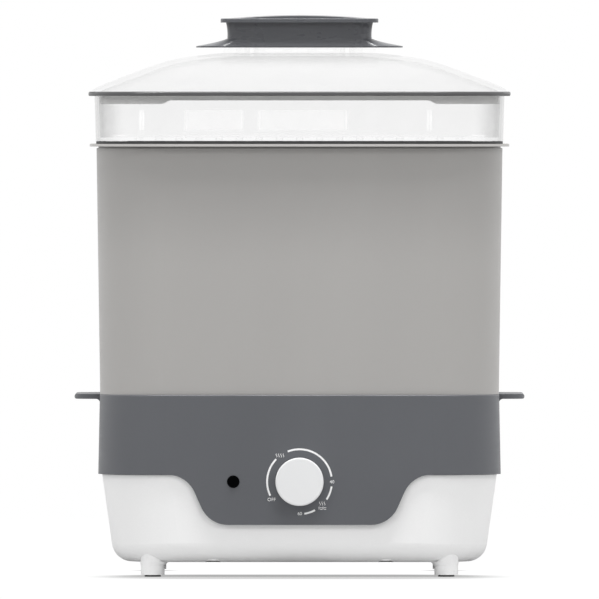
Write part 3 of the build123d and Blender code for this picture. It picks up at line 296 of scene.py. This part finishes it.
def plated(name, colour, rough):
    """Zinc-plated or plain steel: small spangle, dull patches and rolling lines."""
    s = Surface(name, Metallic=1.0)
    spangle = s.cells(s.place, 420.0)
    dull = s.cloud(s.place, 120.0, 5.0, 0.65)
    rolled = s.cloud(s.scaled(s.place, (1.0, 14.0, 14.0)), 160.0, 3.0, 0.6)
    shade = s.sum("ADD", s.sum("MULTIPLY", spangle, 0.35), s.sum("MULTIPLY", dull, 0.65))
    patch = s.stretch(shade, 0.3, 0.65, 0.0, 1.0)
    return s.set(
        Base_Color=s.blend(patch, tone(colour, 0.82), tone(colour, 1.08)),
        Roughness=s.stretch(s.sum("ADD", dull, rolled), 0.6, 1.4, rough - 0.08, rough + 0.14),
        Normal=s.bump(rolled, 0.00002, 0.5),
    ).made


def cast(name, colour, rough):
    """Cast alloy: a pebbled skin with darker pits."""
    s = Surface(name, Metallic=1.0)
    pebble = s.cloud(s.place, 520.0, 5.0, 0.68)
    pits = s.stretch(s.cells(s.place, 260.0), 0.05, 0.35, 0.0, 1.0)
    return s.set(
        Base_Color=s.blend(pits, tone(colour, 0.7), tone(colour, 1.0)),
        Roughness=s.stretch(pebble, 0.3, 0.7, rough - 0.06, rough + 0.12),
        Normal=s.bump(pebble, 0.00012, 0.7),
    ).made


def circuit_board(name):
    """Green solder mask over copper tracks, with a faint glass weave."""
    s = Surface(name, Coat_Weight=0.5, Coat_Roughness=0.18)
    edge = s.cells(s.scaled(s.place, (1.0, 0.0, 1.0)), 210.0, "DISTANCE_TO_EDGE", 0.75)
    track = s.stretch(edge, 0.03, 0.07, 1.0, 0.0)
    warp = s.cloud(s.scaled(s.place, (6.0, 1.0, 1.0)), 400.0)
    weft = s.cloud(s.scaled(s.place, (1.0, 1.0, 6.0)), 400.0)
    weave = s.sum("MULTIPLY", warp, weft)
    return s.set(
        Base_Color=s.blend(track, (0.008, 0.07, 0.028, 1.0), (0.03, 0.2, 0.08, 1.0)),
        Roughness=s.stretch(weave, 0.1, 0.5, 0.3, 0.5),
        Normal=s.bump(track, 0.00004, 0.8),
    ).made


def open_foam(name):
    """Reticulated foam: round cells painted near-black as the shade in its open pores, between thin
    struts.
    """
    s = Surface(name, Specular_IOR_Level=0.25)
    wall = s.cells(s.place, 1050.0, "DISTANCE_TO_EDGE", 0.9)
    strut = s.stretch(wall, 0.02, 0.22, 1.0, 0.0, True)
    dust = s.cloud(s.place, 90.0, 4.0, 0.6)
    settled = s.stretch(dust, 0.4, 0.7, 0.0, 1.0)
    grey = s.blend(settled, (0.085, 0.087, 0.093, 1.0), (0.15, 0.147, 0.14, 1.0))
    return s.set(
        # Painted shade: the cells between the struts are near-black, the shade inside the open pores.
        Base_Color=s.blend(strut, (0.006, 0.006, 0.007, 1.0), grey),
        Roughness=s.stretch(dust, 0.3, 0.7, 0.85, 0.98),
        Normal=s.bump(strut, 0.0007, 0.9),
    ).made


def printed_ink(name, colour):
    """Screen-printed ink: slightly uneven cover and a matte tooth."""
    s = Surface(name)
    cover = s.cloud(s.place, 2600.0, 3.0, 0.6)
    thick = s.stretch(cover, 0.3, 0.6, 0.0, 1.0)
    return s.set(
        Base_Color=s.blend(thick, tone(colour, 0.9), tone(colour, 1.0)),
        Roughness=s.stretch(cover, 0.3, 0.7, 0.42, 0.6),
        Normal=s.bump(cover, 0.000008, 0.6),
    ).made


def make_materials():
    """Every slot's material, by the record's slot names."""
    made = {
        "white_plastic": moulded("white_plastic", (0.86, 0.86, 0.86), 0.42, painted_well_shade=SHADED_WELLS),
        "dark_plastic": moulded("dark_plastic", (0.093, 0.097, 0.107), 0.42, drift=0.05),
        "black_plastic": moulded("black_plastic", (0.025, 0.025, 0.027), 0.38, drift=0.12),
        "knob_white": moulded("knob_white", (0.74, 0.745, 0.75), 0.30, depth=0.000006, drift=0.015),
        "works_plastic": moulded("works_plastic", (0.40, 0.40, 0.41), 0.5, drift=0.05),
        "bin_grey": moulded(
            "bin_grey",
            (0.365, 0.356, 0.346),
            0.38,
            drift=0.022,
            painted_shade_fade=BIN_PAINTED_SHADE,
            painted_lip_light=BIN_PAINTED_LIP_LIGHT,
        ),
        "rack_white": moulded("rack_white", (0.72, 0.72, 0.715), 0.42),
        "lid_dark": moulded("lid_dark", (0.080, 0.080, 0.082), 0.36, drift=0.05),
        "handle_dark": moulded(
            "handle_dark",
            (0.088, 0.091, 0.100),
            0.28,
            depth=0.000008,
            drift=0.03,
        ),
        "lens_black": moulded(
            "lens_black",
            (0.0006, 0.0007, 0.0009),
            0.25,
            depth=0.000002,
            drift=0.3,
            Specular_IOR_Level=0.02,
        ),
        "clear_plastic": clear("clear_plastic", (0.30, 0.30, 0.30), 0.06, 0.040, 0.090, 0.30),
        # Painted light: the tray insert glows white by its emission, so it shows lighter though it is
        # no lamp.
        "insert_clear": clear(
            "insert_clear",
            (0.95, 0.95, 0.95),
            0.20,
            0.05,
            0.03,
            0.15,
            Emission_Color=WHITE,
            Emission_Strength=0.42,
        ),
        "vent_clear": clear("vent_clear", (0.80, 0.80, 0.80), 0.20, 0.05, 0.04, 0.16),
        "lamp_clear": clear("lamp_clear", (0.55, 0.70, 0.85), 0.08, 0.25, 0.2, 0.5),
        "seal_grey": rubber("seal_grey", (0.66, 0.66, 0.655), 0.45, 1.08),
        "seal_dark": rubber("seal_dark", (0.03, 0.03, 0.031), 0.5, 1.8),
        "silicone": rubber("silicone", (0.50, 0.50, 0.49), 0.42, 1.1),
        "rubber_gland": rubber("rubber_gland", (0.022, 0.022, 0.023), 0.55, 2.4),
        "rubber_pad": rubber("rubber_pad", (0.03, 0.03, 0.03), 0.6, 2.2),
        "stainless": spun_steel("stainless", (0.60, 0.59, 0.57), 0.24),
        "zinc_steel": plated("zinc_steel", (0.56, 0.57, 0.58), 0.36),
        "steel_screw": plated("steel_screw", (0.48, 0.48, 0.49), 0.32),
        "element_steel": plated("element_steel", (0.27, 0.25, 0.23), 0.45),
        "cast_alloy": cast("cast_alloy", (0.55, 0.55, 0.56), 0.45),
        "board_green": circuit_board("board_green"),
        "foam": open_foam("foam"),
        "white_print": printed_ink("white_print", (0.86, 0.86, 0.86)),
    }
    return made


def dress(made):
    """Gives each CAD node its slot's material."""
    slots = {part["node"]: part["material_slot"] for part in frame["record"]["subparts"]}
    for name, node in frame["nodes"].items():
        for place in node.material_slots:
            place.material = made[slots[name]]


# ---- dial print ----


def stroke(marks, points, width):
    """Adds a flat ribbon of even width along points, in the panel's plane."""
    count = len(points)
    edges = []
    for i, point in enumerate(points):
        along = points[min(i + 1, count - 1)] - points[max(i - 1, 0)]
        side = Vector((-along.y, along.x)).normalized() * (width / 2)
        edges.append([marks.verts.new((*(point + s * side), 0.0)) for s in (1, -1)])
    for (a, b), (c, d) in zip(edges, edges[1:]):
        marks.faces.new((a, b, d, c))


def on_dial(degrees, radius):
    """A point by its clock angle and its distance from the dial's centre."""
    turn = math.radians(degrees)
    return Vector((math.sin(turn), math.cos(turn))) * radius


def plumes(marks, centre, count):
    """Rising steam: upright waved strokes in a row."""
    for i in range(count):
        x = (i - (count - 1) / 2) * 1.45
        points = []
        for step in range(17):
            t = step / 16
            wave = 0.30 * math.sin(2 * math.pi * t)
            points.append(centre + Vector((x + wave, (t - 0.5) * 2.3)))
        stroke(marks, points, 0.30)


def breeze(marks, centre):
    """Moving air: two level waved strokes."""
    for v in (-0.5, 0.5):
        points = []
        for step in range(25):
            t = step / 24
            wave = 0.24 * math.sin(4 * math.pi * t)
            points.append(centre + Vector(((t - 0.5) * 5.0, v + wave)))
        stroke(marks, points, 0.30)


def lettering(marks, words, centre, height):
    """Adds a stop's number or word, in the plain built-in face."""
    curve = bpy.data.curves.new(f"stop_{words}", "FONT")
    curve.body = words
    curve.size = height / 0.70
    curve.align_x = "CENTER"
    curve.align_y = "CENTER"
    holder = bpy.data.objects.new(f"stop_{words}", curve)
    mesh = bpy.data.meshes.new_from_object(holder)
    for vertex in mesh.vertices:
        vertex.co.x += centre.x
        vertex.co.y += centre.y
    marks.from_mesh(mesh)
    bpy.data.objects.remove(holder)
    bpy.data.curves.remove(curve)
    bpy.data.meshes.remove(mesh)


def make_dial_print(made):
    """The print round the knob: four arcs, the stops' numbers and plain signs."""
    marks = bmesh.new()
    for start, end in ARCS:
        steps = max(8, int((end - start) / 1.5))
        turns = [start + (end - start) * i / steps for i in range(steps + 1)]
        stroke(marks, [on_dial(turn, ARC_RADIUS) for turn in turns], ARC_WIDTH)
    lettering(marks, "OFF", on_dial(237.2, 20.7), 2.1)
    lettering(marks, "40", on_dial(90.5, 20.3), 2.0)
    lettering(marks, "60", on_dial(179.5, 20.0), 2.0)
    plumes(marks, on_dial(323.4, 20.4), 4)
    plumes(marks, on_dial(136.8, 20.7) + Vector((0.0, 1.5)), 3)
    breeze(marks, on_dial(136.8, 20.7) + Vector((0.0, -1.5)))
    bmesh.ops.remove_doubles(marks, verts=marks.verts, dist=0.002)
    bmesh.ops.recalc_face_normals(marks, faces=marks.faces)
    knob_low, knob_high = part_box("dial_knob")
    middle = (Vector(knob_low) + Vector(knob_high)) / 2
    panel_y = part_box("dial_markings")[1][1]
    front = panel_y - PRINT_THICK * MM
    for vertex in marks.verts:
        u, v = vertex.co.x * MM, vertex.co.y * MM
        vertex.co = (middle.x + u, front, middle.z + v)
    for face in marks.faces:
        face.normal_update()
        if face.normal.y > 0:
            face.normal_flip()
    piece = finish_mesh("dial_print", marks, made["white_print"], smooth=False)
    skin = piece.modifiers.new("ink", "SOLIDIFY")
    skin.thickness = PRINT_THICK * MM
    skin.offset = -1.0
    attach(piece, "base")
    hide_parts("dial_markings")


# ---- filter foam ----


def make_filter_foam(made):
    """The filter's foam block: crowned faces, soft edges and an uneven cut skin."""
    low, high = (Vector(corner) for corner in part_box("filter_pad"))
    middle = (low + high) / 2
    size = high - low
    foam = bmesh.new()
    bmesh.ops.create_cube(foam, size=1.0)
    bmesh.ops.subdivide_edges(foam, edges=foam.edges, cuts=FOAM_CUTS, use_grid_fill=True)
    half = size / 2 - Vector((FOAM_SKIN, FOAM_SKIN, FOAM_SKIN))
    for vertex in foam.verts:
        unit = Vector(vertex.co) * 2
        pulled = []
        for i in range(3):
            others = [abs(unit[j]) for j in range(3) if j != i]
            slack = FOAM_DRAW * max(others) ** 6
            pulled.append(unit[i] * (half[i] - slack * abs(unit[i])))
        spot = Vector(pulled)
        rough = noise.noise(spot * 900.0) * 0.00018 + noise.noise(spot * 160.0) * 0.00022
        lean = spot.normalized()
        vertex.co = middle + spot + lean * (rough - FOAM_SKIN)
    piece = finish_mesh("filter_foam", foam, made["foam"])
    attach(piece, "filter_drawer")
    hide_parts("filter_pad")


def finish_mesh(name, shape, material, smooth=True):
    """Makes a named object from a bmesh."""
    mesh = bpy.data.meshes.new(name)
    shape.to_mesh(mesh)
    shape.free()
    mesh.materials.append(material)
    for polygon in mesh.polygons:
        polygon.use_smooth = smooth
    piece = bpy.data.objects.new(name, mesh)
    bpy.context.scene.collection.objects.link(piece)
    return piece


# ---- studio ----


def make_camera():
    """The long-lens camera at the front."""
    data = bpy.data.cameras.new("studio_camera")
    data.sensor_width = 36.0
    data.lens = CAMERA_LENS
    data.clip_start = 1.0
    data.clip_end = 80.0
    camera = bpy.data.objects.new("studio_camera", data)
    back = Vector((0.0, -math.cos(CAMERA_RISE), math.sin(CAMERA_RISE)))
    camera.location = CAMERA_AIM + back * CAMERA_DISTANCE
    camera.rotation_euler = (math.pi / 2 - CAMERA_RISE, 0.0, 0.0)
    bpy.context.scene.collection.objects.link(camera)
    bpy.context.scene.camera = camera


def make_world():
    """A white backdrop to the eye, and to the object a soft room, brighter behind and overhead."""
    world = bpy.data.worlds.new("studio")
    world.use_nodes = True
    bpy.context.scene.world = world
    n = Nodes(world.node_tree)
    n.tree.nodes.clear()
    direction = n.add("ShaderNodeTexCoord").outputs["Generated"]
    x, y, z = n.add("ShaderNodeSeparateXYZ", {0: direction}).outputs
    depth = n.stretch(y, -0.35, 0.75, 0.56, 1.05, True)
    sides = n.stretch(n.sum("ABSOLUTE", x), 0.55, 0.95, 0.0, 0.25, True)
    level = n.sum("ADD", depth, sides)
    height = n.stretch(z, 0.0, 1.0, 1.0, 1.25)
    room = n.sum("MULTIPLY", level, height)
    seen = n.add("ShaderNodeLightPath").outputs["Is Camera Ray"]
    shown = n.add("ShaderNodeMix", {0: seen, 2: room, 3: 1.0}, data_type="FLOAT").outputs[0]
    light = n.add("ShaderNodeBackground", {0: WHITE, 1: shown})
    output = n.add("ShaderNodeOutputWorld")
    n.feed(output.inputs[0], light.outputs[0])


def make_lamp(name, place, aim, size, radiance):
    """A rectangular soft box, given by the brightness of its face."""
    data = bpy.data.lights.new(name, "AREA")
    data.shape = "RECTANGLE"
    data.size, data.size_y = size
    data.energy = radiance * size[0] * size[1] * math.pi
    lamp = bpy.data.objects.new(name, data)
    lamp.location = place
    lamp.rotation_euler = (Vector(aim) - Vector(place)).to_track_quat("-Z", "Y").to_euler()
    bpy.context.scene.collection.objects.link(lamp)


def make_floor():
    """A pale floor with a painted soft contact shade under the object and painted shadow spots at the
    rear feet, white like the backdrop around that.
    """
    shape = bmesh.new()
    bmesh.ops.create_grid(shape, x_segments=24, y_segments=24, size=2.0)
    material = bpy.data.materials.new("pale_floor")
    material.use_nodes = True
    n = Nodes(material.node_tree)
    n.tree.nodes.clear()
    place = n.add("ShaderNodeTexCoord").outputs["Object"]
    x, y = n.add("ShaderNodeSeparateXYZ", {0: place}).outputs[:2]
    wide = n.sum("SUBTRACT", n.sum("ABSOLUTE", x), SHADE_HALF)
    front = n.sum("SUBTRACT", n.sum("MULTIPLY", y, -1.0), SHADE_FRONT)
    deep = n.sum("MAXIMUM", front, n.sum("ADD", y, SHADE_BACK))
    corner = n.add(
        "ShaderNodeCombineXYZ",
        {0: n.sum("MAXIMUM", wide, 0.0), 1: n.sum("MAXIMUM", deep, 0.0), 2: 0.0},
    ).outputs[0]
    away = n.add("ShaderNodeVectorMath", {0: corner}, operation="LENGTH").outputs["Value"]
    # Painted shadow spot round each rear foot.
    across = n.sum("SUBTRACT", n.sum("ABSOLUTE", x), REAR_FOOT[0])
    along = n.sum("SUBTRACT", y, REAR_FOOT[1])
    spot = n.add("ShaderNodeCombineXYZ", {0: across, 1: along, 2: 0.0}).outputs[0]
    ring = n.add("ShaderNodeVectorMath", {0: spot}, operation="LENGTH").outputs["Value"]
    painted_foot_shadow = n.stretch(ring, *SPOT_FADE, 0.0, 1.0, True)
    painted_shade_fade = n.sum("MINIMUM", n.stretch(away, *SHADE_FADE, 0.0, 1.0, True), painted_foot_shadow)
    # Painted contact shade: a dim glow with a faint matte tint, where the open floor glows full white.
    tint = n.blend(n.cloud(place, 5.0), (0.13, 0.13, 0.13, 1.0), (0.15, 0.15, 0.15, 1.0))
    matte = n.add("ShaderNodeBsdfDiffuse", {0: tint})
    glow = n.add("ShaderNodeEmission", {0: WHITE, 1: 0.42})
    painted_shade_zone = n.add("ShaderNodeAddShader", {0: matte.outputs[0], 1: glow.outputs[0]})
    open_floor = n.add("ShaderNodeEmission", {0: WHITE, 1: 1.02})
    mixed = n.add("ShaderNodeMixShader", {0: painted_shade_fade, 1: painted_shade_zone.outputs[0], 2: open_floor.outputs[0]})
    seen = n.add("ShaderNodeLightPath").outputs["Is Camera Ray"]
    bounce = n.add("ShaderNodeBsdfDiffuse", {0: (0.45, 0.45, 0.45, 1.0)})
    shown = n.add("ShaderNodeMixShader", {0: seen, 1: bounce.outputs[0], 2: mixed.outputs[0]})
    output = n.add("ShaderNodeOutputMaterial")
    n.feed(output.inputs["Surface"], shown.outputs[0])
    finish_mesh("floor", shape, material)


def make_studio():
    """Floor, soft boxes, backdrop and the view's colours."""
    make_floor()
    make_world()
    make_lamp("overhead_box", (0.06, -0.46, 2.2), (0.0, 0.0, 0.2), (1.2, 0.5), 26.0)
    make_lamp("right_box", (1.1, -1.9, 1.5), (0.0, 0.0, 0.15), (0.5, 0.5), 10.0)
    make_lamp("left_box", (-1.3, -1.7, 1.2), (0.0, 0.0, 0.15), (0.6, 0.6), 5.5)
    scene = bpy.context.scene
    scene.view_settings.view_transform = "Standard"
    scene.cycles.max_bounces = 16
    scene.cycles.transmission_bounces = 14
    scene.cycles.transparent_max_bounces = 24
    scene.cycles.caustics_reflective = False


make_camera()
materials = make_materials()
dress(materials)
make_dial_print(materials)
make_filter_foam(materials)
make_studio()

bpy.context.view_layer.update()
